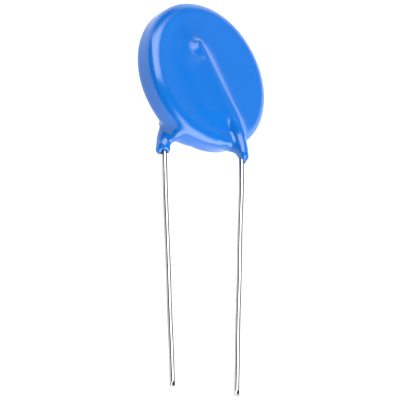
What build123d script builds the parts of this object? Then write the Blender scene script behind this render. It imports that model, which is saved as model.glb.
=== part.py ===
from build123d import *
import os

# Radial-leaded metal-oxide varistor, 20 mm disc, lying on its back.
# Millimetres. +X runs across the disc from the back lead to the front lead, +Y from the lead tips to the
# head of the disc, +Z out of the front face. Z = 0 is the surface the part lies on: it rests on the bump
# and the leg at the two ends of its back wire's ridge, and on the tip of the back lead.

# ---- ceramic and electrodes
CERAMIC_D = 20.0  # sintered zinc-oxide disc
CERAMIC_T = 3.3
CERAMIC_EDGE = 0.25  # rounding pressed into the ceramic's corners
ELECTRODE_D = 17.4  # fired silver, one on each face
ELECTRODE_T = 0.02

# ---- leads
WIRE_D = 0.8  # tinned copper wire
WIRE_R = WIRE_D / 2
SOLDER_FILM = 0.05  # solder between wire and electrode
TIP_WIDTH = 1.04  # sheared ends: squeezed wide ...
TIP_THICK = 0.50  # ... and thin
TIP_LENGTH = 0.75
TIP_DROP = 0.014  # the back lead's axis falls this much along its tip

# ---- solder mounds
MOUND_HALF = 1.05  # half width at the electrode
MOUND_WAIST = 0.62  # half width where the flank is hollow
MOUND_NECK = 0.45  # half width beside the wire's crown
MOUND_COVER = 0.07  # solder over the top of the wire
MOUND_H = SOLDER_FILM + WIRE_D + MOUND_COVER
MOUND_MARGIN = 0.25  # electrode left bare past the mound's end

# ---- epoxy coating
BODY_D = 22.0  # coated disc
BODY_T = 4.2  # face to face, away from the wires
EDGE_R = 1.45  # rounding between face and rim
RIDGE_R = 0.88  # coating over the wire, measured from the wire's axis
BUMP_R = 0.985  # over the wire's cut end
FRONT_LEG_R = 1.10  # coating round the wire where it leaves the disc
BACK_LEG_R = 0.985
LEG_TIP_R = 0.58  # coating's end on the bare wire

# ---- heights
WIRE_LIFT = CERAMIC_T / 2 + ELECTRODE_T + SOLDER_FILM + WIRE_R  # wire axis from the mid-plane
MID_Z = WIRE_LIFT + BACK_LEG_R  # mid-plane above the surface

# ---- wire routes, relative to the disc's centre: end on the disc, corner, end of the straight exit, free tip
HEAD = BODY_D / 2
REACH = 49.2  # disc centre to the longer lead's tip
DISC_Y = (REACH - HEAD) / 2  # puts the origin under the middle of the whole part
FRONT_END = (-2.45, 3.45)
FRONT_CORNER = (5.69, -7.95)
FRONT_EXIT = (5.57, -17.4)
FRONT_TIP = (4.42, -REACH)
BACK_END = (2.07, 3.92)
BACK_CORNER = (-5.33, -7.7)
BACK_EXIT = (-5.06, -18.0)
BACK_TIP = (-3.41, -48.5)
CORNER_R = 5.0  # under the coating
EXIT_R = 20.0  # slight bend below it

# ---- coating legs, distances below the disc's centre
LEG_START = 8.4
LEG_SWELL = 1.5  # over this length the ridge grows to the leg's radius
LEG_DRAW = 0.9  # and over this one the leg draws in to its end
FRONT_LEG_END = 12.2
BACK_LEG_END = 12.45
WEB_T = 1.9  # web of coating between a leg and the rim ...
WEB_RISE = 1.6  # ... measured from this far inside the wire's axis

os.makedirs("parts", exist_ok=True)


def at(point, lift):
    """A point given from the disc's centre and mid-plane, in the part's frame."""
    return Vector(point[0], DISC_Y + point[1], MID_Z + lift)


def below(route, drop):
    """The point of the straight exit run that lies the given distance below the disc's centre."""
    a, b = route[1], route[2]
    return a + (b - a) * ((DISC_Y - drop - a.Y) / (b.Y - a.Y))


FRONT_ROUTE = [
    at(FRONT_END, WIRE_LIFT),
    at(FRONT_CORNER, WIRE_LIFT),
    at(FRONT_EXIT, WIRE_LIFT),
    at(FRONT_TIP, WIRE_LIFT - 0.12),
]
BACK_ROUTE = [
    at(BACK_END, -WIRE_LIFT),
    at(BACK_CORNER, -WIRE_LIFT),
    at(BACK_EXIT, -WIRE_LIFT),
    at(BACK_TIP, WIRE_R - MID_Z - TIP_DROP),  # the last round section touches the surface
]

# ================= ceramic disc
with BuildPart() as ceramic_disc:
    with BuildSketch(Plane.XY.offset(MID_Z - CERAMIC_T / 2)):
        with Locations((0, DISC_Y)):
            Circle(CERAMIC_D / 2)
    extrude(amount=CERAMIC_T)
    fillet(ceramic_disc.edges().filter_by(GeomType.CIRCLE), CERAMIC_EDGE)

# ================= silver electrodes
with BuildPart() as front_electrode:
    with BuildSketch(Plane.XY.offset(MID_Z + CERAMIC_T / 2)):
        with Locations((0, DISC_Y)):
            Circle(ELECTRODE_D / 2)
    extrude(amount=ELECTRODE_T)

with BuildPart() as back_electrode:
    with BuildSketch(Plane.XY.offset(MID_Z - CERAMIC_T / 2 - ELECTRODE_T)):
        with Locations((0, DISC_Y)):
            Circle(ELECTRODE_D / 2)
    extrude(amount=ELECTRODE_T)


# ================= leads: drawn wire along the route, then a sheared tip
def tip_planes(route):
    """The wire's last round section and the end of the sheared tip, with X across the squeeze."""
    run = (route[3] - route[2]).normalized()
    across = Vector(1, 0, 0) - run * run.X
    return Plane(route[3] - run * TIP_LENGTH, x_dir=across, z_dir=run), Plane(route[3], x_dir=across, z_dir=run)


FRONT_FOOT, FRONT_NOSE = tip_planes(FRONT_ROUTE)
BACK_FOOT, BACK_NOSE = tip_planes(BACK_ROUTE)

with BuildPart() as front_lead:
    with BuildLine() as front_path:
        FilletPolyline(*FRONT_ROUTE[:3], FRONT_FOOT.origin, radius=[CORNER_R, EXIT_R])
    with BuildSketch(Plane(FRONT_ROUTE[0], z_dir=front_path.line % 0)):
        Circle(WIRE_R)
    sweep(path=front_path.line)
    with BuildSketch(FRONT_FOOT):
        Circle(WIRE_R)
    with BuildSketch(FRONT_NOSE):
        Ellipse(TIP_WIDTH / 2, TIP_THICK / 2)
    loft()

with BuildPart() as back_lead:
    with BuildLine() as back_path:
        FilletPolyline(*BACK_ROUTE[:3], BACK_FOOT.origin, radius=[CORNER_R, EXIT_R])
    with BuildSketch(Plane(BACK_ROUTE[0], z_dir=back_path.line % 0)):
        Circle(WIRE_R)
    sweep(path=back_path.line)
    with BuildSketch(BACK_FOOT):
        Circle(WIRE_R)
    with BuildSketch(BACK_NOSE):
        Ellipse(TIP_WIDTH / 2, TIP_THICK / 2)
    loft()


# ================= solder mounds: hollow flanks along the wire, rounded off at both ends
def mound_plane(route, side):
    """A plane at the wire's end on the electrode: X along the wire, Z away from the ceramic (side 1 front, -1 back)."""
    return Plane(
        (route[0].X, route[0].Y, MID_Z + side * (CERAMIC_T / 2 + ELECTRODE_T)),
        x_dir=route[1] - route[0],
        z_dir=(0, 0, side),
    )


def mound_length(route):
    """Along the wire, from its end to just inside the electrode's edge."""
    run = (route[1] - route[0]).normalized()
    x, y = route[0].X, route[0].Y - DISC_Y
    b = x * run.X + y * run.Y
    return (b * b - x * x - y * y + (ELECTRODE_D / 2 - MOUND_HALF - MOUND_MARGIN) ** 2) ** 0.5 - b


def across_wire(plane, shift):
    """A plane square to the wire, the given distance along it: X across the wire, Y away from the ceramic."""
    return Plane(plane.origin + plane.x_dir * shift, x_dir=plane.y_dir, z_dir=plane.x_dir)


FRONT_MOUND, BACK_MOUND = mound_plane(FRONT_ROUTE, 1), mound_plane(BACK_ROUTE, -1)
FRONT_RUN, BACK_RUN = mound_length(FRONT_ROUTE), mound_length(BACK_ROUTE)

with BuildSketch() as mound_section:
    with BuildLine():
        Line((-MOUND_HALF, 0), (MOUND_HALF, 0))
        ThreePointArc((MOUND_HALF, 0), (MOUND_WAIST, 0.22), (MOUND_NECK, MOUND_H * 0.68))
        ThreePointArc((MOUND_NECK, MOUND_H * 0.68), (0, MOUND_H), (-MOUND_NECK, MOUND_H * 0.68))
        ThreePointArc((-MOUND_NECK, MOUND_H * 0.68), (-MOUND_WAIST, 0.22), (-MOUND_HALF, 0))
    make_face()
with BuildSketch() as mound_half:
    add(mound_section.sketch)
    split(bisect_by=Plane.YZ, keep=Keep.TOP)

with BuildPart() as front_solder:
    with BuildSketch(across_wire(FRONT_MOUND, 0)):
        add(mound_section.sketch)
    extrude(amount=FRONT_RUN)
    for shift in (0, FRONT_RUN):
        with BuildSketch(across_wire(FRONT_MOUND, shift)):
            add(mound_half.sketch)
        revolve(axis=Axis(FRONT_MOUND.origin + FRONT_MOUND.x_dir * shift, (0, 0, 1)))
    add(front_lead.part, mode=Mode.SUBTRACT)

with BuildPart() as back_solder:
    with BuildSketch(across_wire(BACK_MOUND, 0)):
        add(mound_section.sketch)
    extrude(amount=BACK_RUN)
    for shift in (0, BACK_RUN):
        with BuildSketch(across_wire(BACK_MOUND, shift)):
            add(mound_half.sketch)
        revolve(axis=Axis(BACK_MOUND.origin + BACK_MOUND.x_dir * shift, (0, 0, 1)))
    add(back_lead.part, mode=Mode.SUBTRACT)


# ================= epoxy coating
def leg_plane(route):
    """A plane along the straight exit run: X down the wire from the leg's start, Y square to it."""
    return Plane(below(route, LEG_START), x_dir=route[2] - route[1], z_dir=(0, 0, 1))


def web_points(side, sign):
    """Outline of a web in plan: from the rim to the leg's inner side, to the leg's middle and back into the disc."""
    points = [(-3.9, -9.85), (-2.2, -10.85), (-0.8, -11.75), (0.1, -11.4), (0.3, -7.8)]
    return [(side + sign * x, DISC_Y + y) for x, y in points]


with BuildPart() as front_web:
    with BuildSketch(Plane.XY.offset(MID_Z + WIRE_LIFT - WEB_RISE)):
        with BuildLine():
            rim, hollow, low, middle, inside = web_points(FRONT_CORNER[0], 1)
            ThreePointArc(rim, hollow, low)
            Polyline(low, middle, inside, rim)
        make_face()
    extrude(amount=WEB_T)
    fillet(front_web.edges().filter_by(GeomType.CIRCLE), WEB_T * 0.48)

with BuildPart() as back_web:
    with BuildSketch(Plane.XY.offset(MID_Z - WIRE_LIFT + WEB_RISE - WEB_T)):
        with BuildLine():
            rim, hollow, low, middle, inside = web_points(BACK_CORNER[0], -1)
            ThreePointArc(rim, hollow, low)
            Polyline(low, middle, inside, rim)
        make_face()
    extrude(amount=WEB_T)
    fillet(back_web.edges().filter_by(GeomType.CIRCLE), WEB_T * 0.48)

FRONT_LEG, BACK_LEG = leg_plane(FRONT_ROUTE), leg_plane(BACK_ROUTE)

with BuildPart() as coating:
    # dipped disc
    with BuildSketch(Plane.XY.offset(MID_Z - BODY_T / 2)):
        with Locations((0, DISC_Y)):
            Circle(BODY_D / 2)
    extrude(amount=BODY_T)
    fillet(coating.edges().filter_by(GeomType.CIRCLE), EDGE_R)
    # webs that the epoxy draws between legs and rim
    add(front_web.part)
    add(back_web.part)
    # ridges over the wires, a bump over each cut end
    for route in (FRONT_ROUTE, BACK_ROUTE):
        with BuildLine() as ridge:
            FilletPolyline(route[0], route[1], below(route, LEG_START + 2.2), radius=CORNER_R)
        with BuildSketch(Plane(route[0], z_dir=ridge.line % 0)):
            Circle(RIDGE_R)
        sweep(path=ridge.line)
        with Locations(route[0]):
            Sphere(BUMP_R)
    # legs down the wires
    for plane, radius, length in (
        (FRONT_LEG, FRONT_LEG_R, FRONT_LEG_END - LEG_START),
        (BACK_LEG, BACK_LEG_R, BACK_LEG_END - LEG_START),
    ):
        with BuildSketch(plane):
            # half outline: swells out of the ridge, runs down the wire and draws in to its end
            with BuildLine():
                Spline((0, RIDGE_R - 0.10), (LEG_SWELL, radius), tangents=((1, 0.2), (1, 0)))
                Line((LEG_SWELL, radius), (length - LEG_DRAW, radius))
                Spline((length - LEG_DRAW, radius), (length, LEG_TIP_R), tangents=((1, 0), (0.6, -1)))
                Polyline((length, LEG_TIP_R), (length, 0), (0, 0), (0, RIDGE_R - 0.10))
            make_face()
        revolve(axis=Axis(plane.origin, plane.x_dir))
    # everything the coating seals in
    for piece in (ceramic_disc, front_electrode, back_electrode, front_solder, back_solder, front_lead, back_lead):
        add(piece.part, mode=Mode.SUBTRACT)

PIECES = {
    "coating": coating,
    "ceramic_disc": ceramic_disc,
    "front_electrode": front_electrode,
    "back_electrode": back_electrode,
    "front_solder": front_solder,
    "back_solder": back_solder,
    "front_lead": front_lead,
    "back_lead": back_lead,
}
for name, piece in PIECES.items():
    piece.part.label = name
    export_step(piece.part, f"parts/{name}.step")
    box = piece.part.bounding_box()
    print(name, len(piece.part.solids()), round(piece.part.volume, 3), box.min, box.max)
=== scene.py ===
"""Disc varistor, lying on its back on a pale surface: dipped blue epoxy skin, tinned wires, sealed-in ceramic."""

import math

import bpy
import numpy as np
from mathutils import Matrix, Vector


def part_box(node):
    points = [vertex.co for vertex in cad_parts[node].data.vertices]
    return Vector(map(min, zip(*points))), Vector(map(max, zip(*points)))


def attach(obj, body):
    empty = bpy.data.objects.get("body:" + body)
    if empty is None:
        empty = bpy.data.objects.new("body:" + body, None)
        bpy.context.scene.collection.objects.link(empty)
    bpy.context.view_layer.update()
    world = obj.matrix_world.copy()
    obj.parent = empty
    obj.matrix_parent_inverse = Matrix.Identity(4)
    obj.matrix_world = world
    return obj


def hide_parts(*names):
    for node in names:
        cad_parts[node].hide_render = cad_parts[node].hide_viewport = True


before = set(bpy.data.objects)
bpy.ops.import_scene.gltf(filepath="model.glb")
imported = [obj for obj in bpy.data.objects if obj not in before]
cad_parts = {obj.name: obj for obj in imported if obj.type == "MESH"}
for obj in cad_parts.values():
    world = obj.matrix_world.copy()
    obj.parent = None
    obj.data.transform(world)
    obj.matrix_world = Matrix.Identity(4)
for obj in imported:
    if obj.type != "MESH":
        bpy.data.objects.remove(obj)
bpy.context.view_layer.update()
MM = 0.001

# ---------------------------------------------------------------- the frame's own places, in millimetres
disc_low, disc_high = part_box("ceramic_disc")
CENTRE = (disc_low + disc_high) / 2 / MM  # disc centre, on the mid-plane
CERAMIC_R = (disc_high.x - disc_low.x) / 2 / MM
CERAMIC_H = (disc_high.z - disc_low.z) / 2 / MM
coat_low, coat_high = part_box("coating")
BODY_R = (coat_high.x - coat_low.x) / 2 / MM
BODY_H = 2.1  # half the thickness between the faces
EDGE_R = 1.45  # rounding between face and rim, along the thickness
EDGE_LONG = 1.80  # and along the face
WIRE_R = 0.4
ELECTRODE_R = 8.7
WIRE_LIFT = CERAMIC_H + 0.02 + 0.05 + WIRE_R
MID_Z = CENTRE.z

# wire routes from the disc's centre: cut end on the disc, corner, slight bend, free tip
FRONT = [(-2.45, 3.45, WIRE_LIFT), (5.69, -7.95, WIRE_LIFT), (5.57, -17.4, WIRE_LIFT), (4.42, -49.2, WIRE_LIFT - 0.12)]
BACK = [(2.07, 3.92, -WIRE_LIFT), (-5.33, -7.7, -WIRE_LIFT), (-5.06, -18.0, -WIRE_LIFT), (-3.41, -48.5, WIRE_R - MID_Z - 0.014)]
CORNER_R, EXIT_R = 5.0, 20.0


def rounded(points, radii, step=9):
    """The route with each corner turned into an arc of the given radius: a dense polyline."""
    pts = [np.array(p, float) for p in points]
    out = [pts[0]]
    for i, radius in enumerate(radii, start=1):
        a, b, c = pts[i - 1], pts[i], pts[i + 1]
        u, w = (a - b) / np.linalg.norm(a - b), (c - b) / np.linalg.norm(c - b)
        half = math.acos(max(-1, min(1, float(u @ w)))) / 2
        cut = radius / math.tan(half)
        centre = b + (u + w) / np.linalg.norm(u + w) * radius / math.sin(half)
        p, q = b + u * cut - centre, b + w * cut - centre
        turn = math.pi - 2 * half
        for k in range(step + 1):
            t = k / step
            out.append(centre + (p * math.sin((1 - t) * turn) + q * math.sin(t * turn)) / math.sin(turn))
    out.append(pts[-1])
    return np.array(out)


FRONT_LINE, BACK_LINE = rounded(FRONT, [CORNER_R, EXIT_R]), rounded(BACK, [CORNER_R, EXIT_R])
FRONT_FLOW, BACK_FLOW = rounded(FRONT, [13.0, EXIT_R]), rounded(BACK, [9.0, EXIT_R])  # the wet epoxy took the corner wider


# ---------------------------------------------------------------- distance fields, millimetres from the disc's centre
def smin(a, b, k):
    h = np.maximum(k - np.abs(a - b), 0) / k
    return np.minimum(a, b) - h * h * k / 4


def smax(a, b, k):
    return -smin(-a, -b, k)


def smooth(t):
    t = np.clip(t, 0, 1)
    return t * t * (3 - 2 * t)


def line_distance(p, line):
    best = np.full(len(p), 1e9)
    for a, b in zip(line[:-1], line[1:]):
        ab = b - a
        t = np.clip((p - a) @ ab / (ab @ ab), 0, 1)
        d = p - a - t[:, None] * ab
        best = np.minimum(best, np.einsum("ij,ij->i", d, d))
    return np.sqrt(best)


def disc_field(p, radius, half, edge):
    r = np.hypot(p[:, 0], p[:, 1]) - (radius - edge)
    n = np.abs(p[:, 2]) - (half - edge)
    return np.hypot(np.maximum(r, 0), np.maximum(n, 0)) + np.minimum(np.maximum(r, n), 0) - edge


def upto(line, y):
    """The part of a route above the given y, ending on it."""
    out = [line[0]]
    for a, b in zip(line[:-1], line[1:]):
        if b[1] < y:
            out.append(a + (b - a) * (y - a[1]) / (b[1] - a[1]))
            break
        out.append(b)
    return np.array(out)


def ripple(p, seed, wavelength, count=7):
    """A smooth, repeatable unevenness of about -1 to 1."""
    rng = np.random.default_rng(seed)
    total = np.zeros(len(p))
    for _ in range(count):
        direction = rng.normal(size=3)
        direction /= np.linalg.norm(direction)
        total += np.sin(p @ direction * (2 * math.pi / (wavelength * rng.uniform(0.75, 1.35))) + rng.uniform(0, 6.283))
    return total / math.sqrt(count)


def leg_field(p, line, side, radius, end):
    """Coating round a wire at and below the rim, with its radius and its end given round the wire."""
    path = upto(line, -15.0)
    best = np.full(len(p), 1e9)
    axis = np.zeros((len(p), 3))
    for a, b in zip(path[:-1], path[1:]):
        ab = b - a
        t = np.clip((p - a) @ ab / (ab @ ab), 0, 1)
        foot = a + t[:, None] * ab
        d = ((p - foot) ** 2).sum(1)
        near = d < best
        best = np.where(near, d, best)
        axis = np.where(near[:, None], foot, axis)
    s = -axis[:, 1]
    dx, dn = p[:, 0] - axis[:, 0], p[:, 2] - axis[:, 2]
    angle = np.arctan2(dn * side, dx)  # 0 towards +X, positive away from the disc's face on that side
    d = np.sqrt(best) - radius(s, angle)
    return smax(d, (-p[:, 1] - end(angle)) * 0.85, 0.30)


def ease(value, table):
    """Smooth curve through (position, value) pairs."""
    xs, ys = np.array([x for x, _ in table], float), np.array([y for _, y in table], float)
    slopes = np.gradient(ys, xs)
    i = np.clip(np.searchsorted(xs, value) - 1, 0, len(xs) - 2)
    h = xs[i + 1] - xs[i]
    t = np.clip((value - xs[i]) / h, 0, 1)
    return ((1 + 2 * t) * (1 - t) ** 2 * ys[i] + t * (1 - t) ** 2 * h * slopes[i]
            + t * t * (3 - 2 * t) * ys[i + 1] + t * t * (t - 1) * h * slopes[i + 1])


def front_end(angle):
    """Where the coating stops, below the disc's centre: drawn out to a point on its outer side."""
    return 12.05 + 0.52 * np.cos(angle - 0.72) + 0.05 * np.sin(3 * angle + 1)


def back_end(angle):
    """Here it ends in a skirt with two teeth."""
    return 12.68 + 0.22 * np.cos(2 * (angle - 2.42)) + 0.06 * np.cos(angle - 2.42) + 0.05 * np.sin(5 * angle)


def front_radius(s, angle):
    size = ease(s, [(3.6, 0.40), (5.4, 0.66), (7.2, 0.84), (8.6, 0.94), (9.8, 0.97), (11.2, 0.99), (14, 1.0)])
    draw = smooth((s - (front_end(angle) - 1.15)) / 1.15)
    return size + 0.08 * smooth((s - 8.5) / 1.5) * np.cos(angle - 0.9) * (1 - draw) - 0.44 * draw


def back_radius(s, angle):
    size = ease(s, [(3.6, 0.30), (5.6, 0.48), (7.2, 0.52), (8.4, 0.50), (9.5, 0.57), (10.8, 0.71), (12.0, 0.84), (13, 0.94), (14, 1.0)])
    draw = smooth((s - (back_end(angle) - 0.75)) / 0.75)
    outer = ((1 + np.cos(angle - 2.42)) / 2) ** 2  # fuller on its outer side
    bell = ((1 + np.cos(angle + 2.3)) / 2) ** 3  # and flared towards the disc's middle plane
    flare = 0.36 * np.clip((s - 9.0) / 3.4, 0, 1) - 0.08 * smooth((s - 7.4) / 1.2)
    return size + 0.34 * smooth((s - 7.7) / 2.9) * outer + flare * bell - 0.26 * draw


def drop_table(slopes):
    """Depth below the crest against distance from it, from (distance, slope) pairs, the last one its total."""
    u = np.linspace(0, 8, 801)
    slope = np.interp(u, [x for x, _ in slopes], [y for _, y in slopes])
    depth = np.concatenate([[0], np.cumsum((slope[1:] + slope[:-1]) / 2 * (u[1] - u[0]))])
    return u, depth / depth[-1]


STEEP = drop_table([(0, 0.40), (1.3, 0.40), (1.9, 0.24), (2.8, 0.11), (4.2, 0.03), (5.5, 0.0)])  # side away from the slump
SLACK = drop_table([(0, 0.12), (1.0, 0.13), (3.2, 0.14), (4.4, 0.09), (6.0, 0.04), (7.6, 0.0)])  # side it slumped to
SLUMP = [(0, 0.40), (1, 0.44), (4, 0.62), (7.2, 0.74), (10.4, 0.92), (13, 0.80)]  # how far the crest lies to the slack side of the wire
KNOB = (0.05, -0.28, 1.7, 0.27)  # swelling over the wire's cut end: along and across the crest, radius, height


def relief(x, y, line, side, crest):
    """How far one face stands up over its wire and solder: a lopsided ridge with a swollen head."""
    a, b = line[0][:2], line[1][:2]
    run = (b - a) / np.linalg.norm(b - a)
    across = np.array([-run[1], run[0]]) * side  # towards the steep side
    rx, ry = x - a[0], y - a[1]
    s, u = rx * run[0] + ry * run[1], rx * across[0] + ry * across[1]
    u = u + ease(s, SLUMP)
    back = np.maximum(0.51 - s, 0)
    t = np.hypot(u, back)
    keep = 0.24
    t = np.sqrt(t * t + keep * keep) - keep
    turn = smooth((np.degrees(np.arctan2(u, back + 1e-9)) + 60) / 120)  # 0 on the slack side, 1 on the steep side
    depth = np.interp(t, *SLACK) * (1 - turn) + np.interp(t, *STEEP) * turn
    r = np.hypot(x, y)
    fade_slack, fade_steep = smooth((8.9 - r) / 2.9), smooth((11.2 - r) / 3.0)
    fade = fade_slack + (fade_steep - fade_slack) * smooth((u + 1.10) / 1.15)
    height = crest - 0.34 * (1 - smooth((s + 0.6) / 3.2))
    knob = KNOB[3] * (1 - smooth(np.hypot(s - KNOB[0], u - KNOB[1]) / KNOB[2]))
    return (height * np.maximum(1 - depth, 0) + knob) * fade


def web_field(p, side, points, lift, half):
    """Epoxy drawn between a leg and the rim: a rounded wedge in plan through (x, y, radius) points."""
    x, y, n = p[:, 0], p[:, 1], p[:, 2] * side - lift
    best = np.full(len(p), 1e9)
    for (ax, ay, ar), (bx, by, br) in zip(points[:-1], points[1:]):
        abx, aby = bx - ax, by - ay
        t = np.clip(((x - ax) * abx + (y - ay) * aby) / (abx * abx + aby * aby), 0, 1)
        d = np.sqrt((x - ax - t * abx) ** 2 + (y - ay - t * aby) ** 2 + (n / half) ** 2) - (ar + (br - ar) * t)
        best = np.minimum(best, d)
    return best


FRONT_WEB = [(2.4, -9.8, 0.45), (3.6, -9.6, 0.60), (4.7, -9.9, 0.62)]
BACK_WEB = [(-2.2, -9.8, 0.42), (-3.5, -9.9, 0.63), (-4.7, -10.4, 0.68)]


def body_field(p):
    x, y, n = p[:, 0], p[:, 1], p[:, 2]
    front, back = relief(x, y, FRONT_LINE, 1, 0.86), relief(x, y, BACK_LINE, -1, 0.90)
    half = BODY_H + np.where(n > 0, front, back)
    theta = np.arctan2(y, x)
    radius = BODY_R - 0.02 + 0.05 * np.cos(2 * theta + 0.6) + 0.035 * np.cos(3 * theta + 2.0)
    r = np.maximum(np.hypot(x, y) - (radius - EDGE_LONG), 0) / EDGE_LONG
    m = np.maximum(np.abs(n) - (half - EDGE_R), 0) / EDGE_R
    size = (EDGE_LONG * r * r + EDGE_R * m * m + 1e-9) / (r * r + m * m + 1e-9)
    return (np.hypot(r, m) - 1) * size


def outer_field(p, inner):
    out = body_field(p)
    out = smin(out, np.maximum(inner - 0.13, -p[:, 1] - 8.0), 0.25)  # never thinner than this over wires and solder
    out = smin(out, web_field(p, 1, FRONT_WEB, 1.25, 1.25), 0.9)
    out = smin(out, web_field(p, -1, BACK_WEB, 1.0, 1.5), 1.6)
    out = smin(out, leg_field(p, FRONT_FLOW, 1, front_radius, front_end), 0.9)
    out = smin(out, leg_field(p, BACK_FLOW, -1, back_radius, back_end), 1.1)
    out = out - 0.010 * ripple(p, 11, 5.0)
    return smax(out, -(MID_Z - 0.012) - p[:, 2], 0.25)  # nothing sinks below the surface that it lies on


def inner_field(p):
    """What the coating seals in: ceramic, electrodes, solder and wires."""
    gap = 0.012
    out = disc_field(p, CERAMIC_R + gap, CERAMIC_H + gap, 0.25)
    plate = disc_field(p, ELECTRODE_R + gap, CERAMIC_H + 0.02 + gap, 0.01)
    out = np.minimum(out, plate)
    for line, side in ((FRONT_LINE, 1), (BACK_LINE, -1)):
        wire = line_distance(p, line) - (WIRE_R + gap)
        out = np.minimum(out, wire)
        a, b = line[0], line[1]
        run = (b - a) / np.linalg.norm(b - a)
        flat_a = a * np.array([1, 1, 0])
        bb = float(flat_a @ run)
        length = math.sqrt(bb * bb - float(flat_a @ flat_a) + (ELECTRODE_R - 1.05 - 0.25) ** 2) - bb
        rel = p - a
        s = np.clip(rel @ run, 0, length)
        away = rel - s[:, None] * run
        u = np.hypot(away[:, 0], away[:, 1])
        h = p[:, 2] * side - CERAMIC_H - 0.02
        half = 0.44 + 0.62 * np.clip(1 - np.maximum(h, 0) / 0.5, 0, 1) ** 2.2
        mound = np.maximum(np.maximum(u - half, h - 0.93), -h - 0.02)
        out = np.minimum(out, np.maximum(mound, 0.0) * 0.8 + np.minimum(mound, 0.0) * 0.8)
    return out


def skin_field(p):
    inner = inner_field(p)
    return smax(outer_field(p, inner), -inner, 0.05)


def surface_mesh(field, low, high, step, relax=3):
    """Closed quad mesh on field = 0, with each vertex drawn onto the surface."""
    axes = [np.arange(low[i], high[i] + step, step) for i in range(3)]
    shape = tuple(len(a) for a in axes)
    values = np.empty(shape)
    for k in range(shape[0]):  # slab by slab, to spare memory
        yy, zz = np.meshgrid(axes[1], axes[2], indexing="ij")
        pts = np.stack([np.full(yy.size, axes[0][k]), yy.ravel(), zz.ravel()], 1)
        values[k] = field(pts).reshape(shape[1:])
    inside = values < 0
    corners = [(i, j, k) for i in (0, 1) for j in (0, 1) for k in (0, 1)]
    cells = tuple(n - 1 for n in shape)

    def window(a, c):
        return a[c[0] : c[0] + cells[0], c[1] : c[1] + cells[1], c[2] : c[2] + cells[2]]

    count = sum(window(inside, c).astype(np.int8) for c in corners)
    active = (count > 0) & (count < 8)
    index = np.full(cells, -1, np.int64)
    where = np.argwhere(active)
    index[active] = np.arange(len(where))
    total, hits = np.zeros((len(where), 3)), np.zeros(len(where))
    for axis in range(3):
        for c in corners:
            if c[axis]:
                continue
            d = list(c)
            d[axis] = 1
            va = window(values, c)[active]
            vb = window(values, tuple(d))[active]
            cross = (va < 0) != (vb < 0)
            t = np.where(cross, va / np.where(cross, va - vb, 1), 0)
            for i in range(3):
                total[:, i] += np.where(cross, c[i] + (t if i == axis else 0), 0)
            hits += cross
    verts = (where + total / hits[:, None]) * step + np.array(low)
    quads = []
    for axis in range(3):
        u, v = (axis + 1) % 3, (axis + 2) % 3
        lo = [slice(None)] * 3
        hi = [slice(None)] * 3
        lo[axis], hi[axis] = slice(0, -1), slice(1, None)
        a, b = inside[tuple(lo)], inside[tuple(hi)]
        edges = np.argwhere(a != b)
        edges = edges[(edges[:, u] > 0) & (edges[:, v] > 0) & (edges[:, u] < cells[u]) & (edges[:, v] < cells[v])]
        flip = a[tuple(edges.T)]
        ring = []
        for du, dv in ((-1, -1), (0, -1), (0, 0), (-1, 0)):
            e = edges.copy()
            e[:, u] += du
            e[:, v] += dv
            ring.append(index[tuple(e.T)])
        ring = np.stack(ring, 1)
        ring[~flip] = ring[~flip][:, ::-1]
        quads.append(ring)
    quads = np.concatenate(quads)
    h = step * 0.08
    for turn in range(relax):
        if turn:  # even the mesh out along the surface before the next draw
            near, weight = np.zeros_like(verts), np.zeros(len(verts))
            for i in range(4):
                np.add.at(near, quads[:, i], verts[quads[:, (i + 1) % 4]] + verts[quads[:, (i + 3) % 4]])
                np.add.at(weight, quads[:, i], 2)
            verts = verts + 0.5 * (near / weight[:, None] - verts)
        for _ in range(2):
            f = field(verts)
            g = np.stack([field(verts + h * e) - field(verts - h * e) for e in np.eye(3)], 1) / (2 * h)
            move = -f[:, None] * g / np.maximum((g * g).sum(1), 0.25)[:, None]
            size = np.linalg.norm(move, axis=1)
            verts = verts + move * np.minimum(1, 0.5 * step / np.maximum(size, 1e-9))[:, None]
    return verts, quads


def to_world(points):
    return (np.asarray(points, float) + np.array(CENTRE)) * MM


def mesh_object(name, verts, faces, smooth_shading=True):
    mesh = bpy.data.meshes.new(name)
    mesh.from_pydata([tuple(v) for v in verts], [], [tuple(int(i) for i in f) for f in faces])
    mesh.validate()
    mesh.update()
    if smooth_shading:
        mesh.polygons.foreach_set("use_smooth", [True] * len(mesh.polygons))
    obj = bpy.data.objects.new(name, mesh)
    bpy.context.scene.collection.objects.link(obj)
    return obj


# ---------------------------------------------------------------- node helpers
def new_material(name):
    mat = bpy.data.materials.new(name)
    mat.use_nodes = True
    nodes, links = mat.node_tree.nodes, mat.node_tree.links
    shader = next(n for n in nodes if n.type == "BSDF_PRINCIPLED")
    return mat, nodes, links, shader


def noise(nodes, links, scale, detail=3.0, rough=0.5, stretch=None, distortion=0.0):
    """Noise in object space; scale is features per metre."""
    coord = nodes.new("ShaderNodeTexCoord")
    tex = nodes.new("ShaderNodeTexNoise")
    tex.inputs["Scale"].default_value = scale
    tex.inputs["Detail"].default_value = detail
    tex.inputs["Roughness"].default_value = rough
    tex.inputs["Distortion"].default_value = distortion
    if stretch:
        mapping = nodes.new("ShaderNodeMapping")
        mapping.inputs["Scale"].default_value = stretch
        links.new(coord.outputs["Object"], mapping.inputs["Vector"])
        links.new(mapping.outputs["Vector"], tex.inputs["Vector"])
    else:
        links.new(coord.outputs["Object"], tex.inputs["Vector"])
    return tex


def ramp(nodes, links, source, stops, socket="Fac"):
    node = nodes.new("ShaderNodeValToRGB")
    elements = node.color_ramp.elements
    elements[0].position, elements[0].color = stops[0][0], (*stops[0][1], 1)
    elements[1].position, elements[1].color = stops[-1][0], (*stops[-1][1], 1)
    for pos, colour in stops[1:-1]:
        e = elements.new(pos)
        e.color = (*colour, 1)
    links.new(source.outputs[socket], node.inputs["Fac"])
    return node


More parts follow.
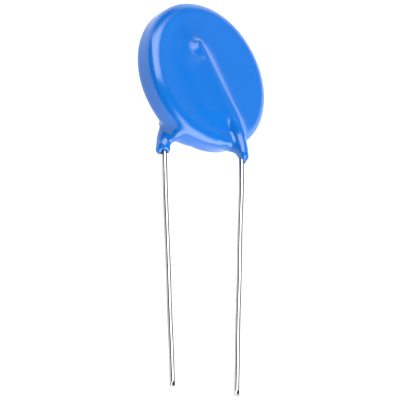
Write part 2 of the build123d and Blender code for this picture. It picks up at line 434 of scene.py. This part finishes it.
def grey(v):
    return (v, v, v)


def bump(nodes, links, shader, heights):
    """Chains (height output, strength, distance) bumps into the shader's normal."""
    last = None
    for out, strength, distance in heights:
        node = nodes.new("ShaderNodeBump")
        node.inputs["Strength"].default_value = strength
        node.inputs["Distance"].default_value = distance
        links.new(out, node.inputs["Height"])
        if last is not None:
            links.new(last.outputs["Normal"], node.inputs["Normal"])
        last = node
    links.new(last.outputs["Normal"], shader.inputs["Normal"])


# ---------------------------------------------------------------- materials
def epoxy_material():
    mat, nodes, links, shader = new_material("blue_epoxy")
    shader.inputs["IOR"].default_value = 1.60
    cloud = noise(nodes, links, 120, 2.0)
    colour = ramp(nodes, links, cloud, [(0.3, (0.0034, 0.134, 0.528)), (0.7, (0.0040, 0.143, 0.553))])
    links.new(colour.outputs["Color"], shader.inputs["Base Color"])
    patch = noise(nodes, links, 260, 3.0)
    rough = ramp(nodes, links, patch, [(0.35, grey(0.15)), (0.7, grey(0.20))])
    links.new(rough.outputs["Color"], shader.inputs["Roughness"])
    peel = noise(nodes, links, 1400, 2.0)
    slow = noise(nodes, links, 300, 1.0)
    grit = noise(nodes, links, 2600, 1.0)
    specks = ramp(nodes, links, grit, [(0.74, grey(0.0)), (0.80, grey(1.0))])
    bump(nodes, links, shader, [
        (slow.outputs["Fac"], 0.25, 0.00006),
        (peel.outputs["Fac"], 0.30, 0.000012),
        (specks.outputs["Color"], 0.5, 0.00003),
    ])
    return mat


def tinned_material():
    mat, nodes, links, shader = new_material("tinned_wire")
    shader.inputs["Metallic"].default_value = 1.0
    tone = noise(nodes, links, 900, 4.0, stretch=(1, 0.18, 1))
    colour = ramp(nodes, links, tone, [(0.3, (0.36, 0.36, 0.37)), (0.7, (0.48, 0.475, 0.47))])
    links.new(colour.outputs["Color"], shader.inputs["Base Color"])
    streak = noise(nodes, links, 3500, 3.0, stretch=(1, 0.06, 1))
    rough = ramp(nodes, links, streak, [(0.3, grey(0.09)), (0.75, grey(0.20))])
    links.new(rough.outputs["Color"], shader.inputs["Roughness"])
    nick = noise(nodes, links, 1500, 2.0)
    pits = ramp(nodes, links, nick, [(0.30, grey(0.0)), (0.42, grey(1.0))])
    bump(nodes, links, shader, [
        (streak.outputs["Fac"], 0.35, 0.00001),
        (pits.outputs["Color"], 0.4, 0.00001),
    ])
    return mat


def ceramic_material():
    mat, nodes, links, shader = new_material("zinc_oxide")
    grain = noise(nodes, links, 2500, 5.0)
    colour = ramp(nodes, links, grain, [(0.3, (0.045, 0.048, 0.052)), (0.7, (0.085, 0.088, 0.09))])
    links.new(colour.outputs["Color"], shader.inputs["Base Color"])
    shader.inputs["Roughness"].default_value = 0.8
    bump(nodes, links, shader, [(grain.outputs["Fac"], 0.5, 0.00003)])
    return mat


def silver_material():
    mat, nodes, links, shader = new_material("silver")
    shader.inputs["Metallic"].default_value = 1.0
    grain = noise(nodes, links, 3000, 4.0)
    colour = ramp(nodes, links, grain, [(0.3, (0.74, 0.72, 0.68)), (0.7, (0.86, 0.85, 0.81))])
    links.new(colour.outputs["Color"], shader.inputs["Base Color"])
    shader.inputs["Roughness"].default_value = 0.5
    bump(nodes, links, shader, [(grain.outputs["Fac"], 0.3, 0.00001)])
    return mat


def solder_material():
    mat, nodes, links, shader = new_material("solder")
    shader.inputs["Metallic"].default_value = 1.0
    grain = noise(nodes, links, 1200, 3.0)
    colour = ramp(nodes, links, grain, [(0.3, (0.50, 0.51, 0.53)), (0.7, (0.68, 0.68, 0.69))])
    links.new(colour.outputs["Color"], shader.inputs["Base Color"])
    rough = ramp(nodes, links, grain, [(0.3, grey(0.2)), (0.7, grey(0.4))])
    links.new(rough.outputs["Color"], shader.inputs["Roughness"])
    bump(nodes, links, shader, [(grain.outputs["Fac"], 0.3, 0.00003)])
    return mat


EPOXY, TINNED, CERAMIC, SILVER, SOLDER = (
    epoxy_material(), tinned_material(), ceramic_material(), silver_material(), solder_material())
for node, mat in {
    "coating": EPOXY, "ceramic_disc": CERAMIC, "front_electrode": SILVER, "back_electrode": SILVER,
    "front_solder": SOLDER, "back_solder": SOLDER, "front_lead": TINNED, "back_lead": TINNED,
}.items():
    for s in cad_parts[node].material_slots:
        s.material = mat

# ---------------------------------------------------------------- the dipped skin
LOW, HIGH = (-11.6, -13.4, -3.5), (11.6, 11.6, 3.5)
skin_verts, skin_faces = surface_mesh(skin_field, LOW, HIGH, 0.165)
skin = mesh_object("dipped_skin", to_world(skin_verts), skin_faces)
skin.data.materials.append(EPOXY)
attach(skin, "root")
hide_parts("coating")


# ---------------------------------------------------------------- the wires
def wire_object(name, node, line, seed, shear, roll, bow):
    """Drawn wire along its route, a little uneven, with a sheared and squeezed free end."""
    rng = np.random.default_rng(seed)
    # stations: even along the route, dense at the squeezed tip
    stations = []
    length = 0.0
    lengths = [0.0]
    for a, b in zip(line[:-1], line[1:]):
        length += float(np.linalg.norm(b - a))
        lengths.append(length)
    lengths = np.array(lengths)
    tip = 0.75
    s_list = list(np.arange(0, length - tip, 0.22)) + list(np.linspace(length - tip, length, 14))
    s_list = np.array(sorted(set(round(s, 4) for s in s_list)))
    around = 40
    angles = np.linspace(0, 2 * math.pi, around, endpoint=False)
    verts = []
    bend = [rng.uniform(0, 6.283) for _ in range(6)]
    for s in s_list:
        i = min(int(np.searchsorted(lengths, s, side="right")) - 1, len(line) - 2)
        t = (s - lengths[i]) / (lengths[i + 1] - lengths[i])
        centre = line[i] + (line[i + 1] - line[i]) * t
        # tangent blended over neighbouring pieces
        def tangent(x):
            j = min(max(int(np.searchsorted(lengths, x, side="right")) - 1, 0), len(line) - 2)
            v = line[j + 1] - line[j]
            return v / np.linalg.norm(v)
        direction = tangent(max(0, s - 0.15)) + tangent(min(length - 1e-6, s + 0.15))
        direction /= np.linalg.norm(direction)
        x_axis = np.array([1.0, 0, 0]) - direction * direction[0]
        x_axis /= np.linalg.norm(x_axis)
        z_axis = np.cross(x_axis, direction)
        # slight waviness of the free run only
        free = smooth((s - 17) / 6) * smooth((length - s) / 6)
        centre = centre + x_axis * bow * math.sin(math.pi * max(0.0, s - 17) / (length - 17))
        centre = centre + x_axis * free * 0.022 * math.sin(s * 0.42 + bend[0]) + z_axis * free * 0.012 * math.sin(s * 0.33 + bend[1])
        u = max(0.0, (s - (length - tip)) / tip)
        wide = WIRE_R + (0.52 - WIRE_R) * smooth(u)
        thick = WIRE_R + (0.25 - WIRE_R) * smooth(u)
        rr = 1 + 0.010 * math.sin(s * 1.7 + bend[2]) + 0.006 * math.sin(s * 4.1 + bend[3])
        cr, sr = math.cos(roll * smooth(u)), math.sin(roll * smooth(u))
        for a in angles:
            e = 1 + 0.006 * math.sin(3 * a + bend[4] + s * 0.5)
            px, pz = math.cos(a) * wide * rr * e, math.sin(a) * thick * rr * e
            px, pz = px * cr - pz * sr, px * sr + pz * cr
            cutback = shear * (px / 0.52) * smooth(u)
            verts.append(centre + x_axis * px + z_axis * pz + direction * cutback)
    n = len(s_list)
    faces = []
    for k in range(n - 1):
        for j in range(around):
            faces.append((k * around + j, k * around + (j + 1) % around, (k + 1) * around + (j + 1) % around, (k + 1) * around + j))
    # end faces: an inset ring, slightly raised, and a centre point
    def cap(ring, direction, flip):
        base = [verts[i] for i in ring]
        mid = sum(base) / len(base)
        start = len(verts)
        for b in base:
            verts.append(mid + (b - mid) * 0.82 + direction * 0.035)
        for j in range(around):
            q = (ring[j], ring[(j + 1) % around], start + (j + 1) % around, start + j)
            faces.append(q[::-1] if flip else q)
        verts.append(mid + direction * 0.05)
        for j in range(around):
            q = (start + j, start + (j + 1) % around, len(verts) - 1)
            faces.append(q[::-1] if flip else q)
    first, last = list(range(around)), list(range((n - 1) * around, n * around))
    out_dir = line[-1] - line[-2]
    out_dir = out_dir / np.linalg.norm(out_dir)
    in_dir = line[0] - line[1]
    in_dir = in_dir / np.linalg.norm(in_dir)
    cap(first, in_dir * 0.4, True)
    cap(last, out_dir, False)
    obj = mesh_object(name, to_world(np.array(verts)), faces)
    bm_fix(obj)
    obj.data.materials.append(TINNED)
    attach(obj, "root")
    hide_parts(node)
    return obj


def bm_fix(obj):
    """Faces outwards, and a sharp edge where the wire was cut."""
    import bmesh
    bm = bmesh.new()
    bm.from_mesh(obj.data)
    bmesh.ops.recalc_face_normals(bm, faces=bm.faces)
    for e in bm.edges:
        if len(e.link_faces) == 2 and e.calc_face_angle() > 0.7:
            e.smooth = False
    bm.to_mesh(obj.data)
    bm.free()


wire_object("front_wire", "front_lead", FRONT_LINE, 5, 0.10, 0.0, -0.08)
wire_object("back_wire", "back_lead", BACK_LINE, 9, -0.08, 0.0, 0.0)

# ---------------------------------------------------------------- floor
floor = bpy.data.meshes.new("floor")
S = 3.0
floor.from_pydata([(-S, -S, 0), (S, -S, 0), (S, S, 0), (-S, S, 0)], [], [(0, 1, 2, 3)])
floor_obj = bpy.data.objects.new("floor", floor)
bpy.context.scene.collection.objects.link(floor_obj)
mat, nodes, links, shader = new_material("floor_white")
paper = noise(nodes, links, 900, 3.0)
tint = ramp(nodes, links, paper, [(0.3, grey(0.10)), (0.7, grey(0.12))])
links.new(tint.outputs["Color"], shader.inputs["Base Color"])
shader.inputs["Roughness"].default_value = 0.9
shader.inputs["Specular IOR Level"].default_value = 0.2
shader.inputs["Emission Color"].default_value = (1, 1, 1, 1)
shader.inputs["Emission Strength"].default_value = 1.18
floor.materials.append(mat)

# ---------------------------------------------------------------- light: a studio dome with two large soft panels
world = bpy.data.worlds.new("studio")
bpy.context.scene.world = world
world.use_nodes = True
wn, wl = world.node_tree.nodes, world.node_tree.links
for n in list(wn):
    wn.remove(n)
out = wn.new("ShaderNodeOutputWorld")
back = wn.new("ShaderNodeBackground")
wl.new(back.outputs["Background"], out.inputs["Surface"])
coord = wn.new("ShaderNodeTexCoord")


def w_math(op, a, b=None, c=None, clamp=False):
    node = wn.new("ShaderNodeMath")
    node.operation = op
    node.use_clamp = clamp
    for i, v in enumerate((a, b, c)):
        if v is None:
            continue
        if isinstance(v, (int, float)):
            node.inputs[i].default_value = v
        else:
            wl.new(v, node.inputs[i])
    return node.outputs[0]


def w_dot(v):
    node = wn.new("ShaderNodeVectorMath")
    node.operation = "DOT_PRODUCT"
    wl.new(coord.outputs["Generated"], node.inputs[0])
    node.inputs[1].default_value = v
    return node.outputs["Value"]


def w_step(value, edge0, edge1):
    node = wn.new("ShaderNodeMapRange")
    node.interpolation_type = "SMOOTHSTEP"
    wl.new(value, node.inputs["Value"])
    node.inputs["From Min"].default_value = edge0
    node.inputs["From Max"].default_value = edge1
    node.inputs["To Min"].default_value = 0.0
    node.inputs["To Max"].default_value = 1.0
    return node.outputs["Result"]


def w_product(*parts):
    value = parts[0]
    for p in parts[1:]:
        value = w_math("MULTIPLY", value, p)
    return value


X, Y, Z = w_dot((1, 0, 0)), w_dot((0, 1, 0)), w_dot((0, 0, 1))
# soft boxes, bounded by direction cosines: one over the head of the disc, one beyond the wire tips
key = w_product(w_step(X, -0.70, -0.54), w_step(X, 0.42, -0.10), w_step(w_dot((-0.38, 1, 0)), 0.12, 0.27), w_step(Y, 0.88, 0.66), w_step(Z, 0.0, 0.1))
low_box = w_product(w_step(X, -0.28, 0.12), w_step(X, 0.98, 0.66), w_step(Y, -0.22, -0.62), w_step(Z, -0.02, 0.12))
glow = w_product(w_step(w_dot((0.82, 0.57, 0.0)), 0.60, 0.85), w_step(Z, 0.60, 0.12))  # bright wall low on the right
face = w_step(w_dot((0.594, 0.443, 0.67)), 0.975, 1.0)
total = w_math("ADD", w_math("ADD", w_math("MULTIPLY", key, 5.0), w_math("MULTIPLY", low_box, 4.9)),
               w_math("ADD", w_math("MULTIPLY", glow, 1.7), w_math("ADD", w_math("MULTIPLY", face, 0.25), 0.06)))
wl.new(total, back.inputs["Strength"])
back.inputs["Color"].default_value = (1, 1, 1, 1)
world.cycles.sampling_method = "MANUAL"
world.cycles.sample_map_resolution = 1024

scene = bpy.context.scene
scene.view_settings.view_transform = "Standard"
scene.view_settings.look = "None"
scene.view_settings.exposure = 0.0
scene.view_settings.gamma = 1.0

# ---------------------------------------------------------------- camera: looks down on the lying part
right_axis = Vector((0.7495, -0.0072, 0.66))
up_axis = Vector((-0.2873, 0.8967, 0.336))
back_axis = right_axis.cross(up_axis).normalized()
up_axis = back_axis.cross(right_axis).normalized()
right_axis.normalize()
SCALE = 7.045  # millimetres of the object to picture elements, in a frame 400 wide
DISTANCE = 2.0
cam_data = bpy.data.cameras.new("camera")
cam = bpy.data.objects.new("camera", cam_data)
scene.collection.objects.link(cam)
scene.camera = cam
cam_data.sensor_fit = "HORIZONTAL"
cam_data.sensor_width = 36.0
field = 400 / SCALE * MM  # width of the view at the disc's centre
cam_data.lens = 36.0 * DISTANCE / field
cam_data.clip_start, cam_data.clip_end = 0.05, 10
# the disc's centre stands at (201.1, 78.0) of 400 x 400, so the view's middle is below it
middle = Vector(CENTRE) * MM + right_axis * ((200 - 201.1) / SCALE * MM) - up_axis * ((200 - 78.0) / SCALE * MM)
cam.matrix_world = Matrix.Translation(middle + back_axis * DISTANCE) @ Matrix((
    (right_axis.x, up_axis.x, back_axis.x),
    (right_axis.y, up_axis.y, back_axis.y),
    (right_axis.z, up_axis.z, back_axis.z),
)).to_4x4()
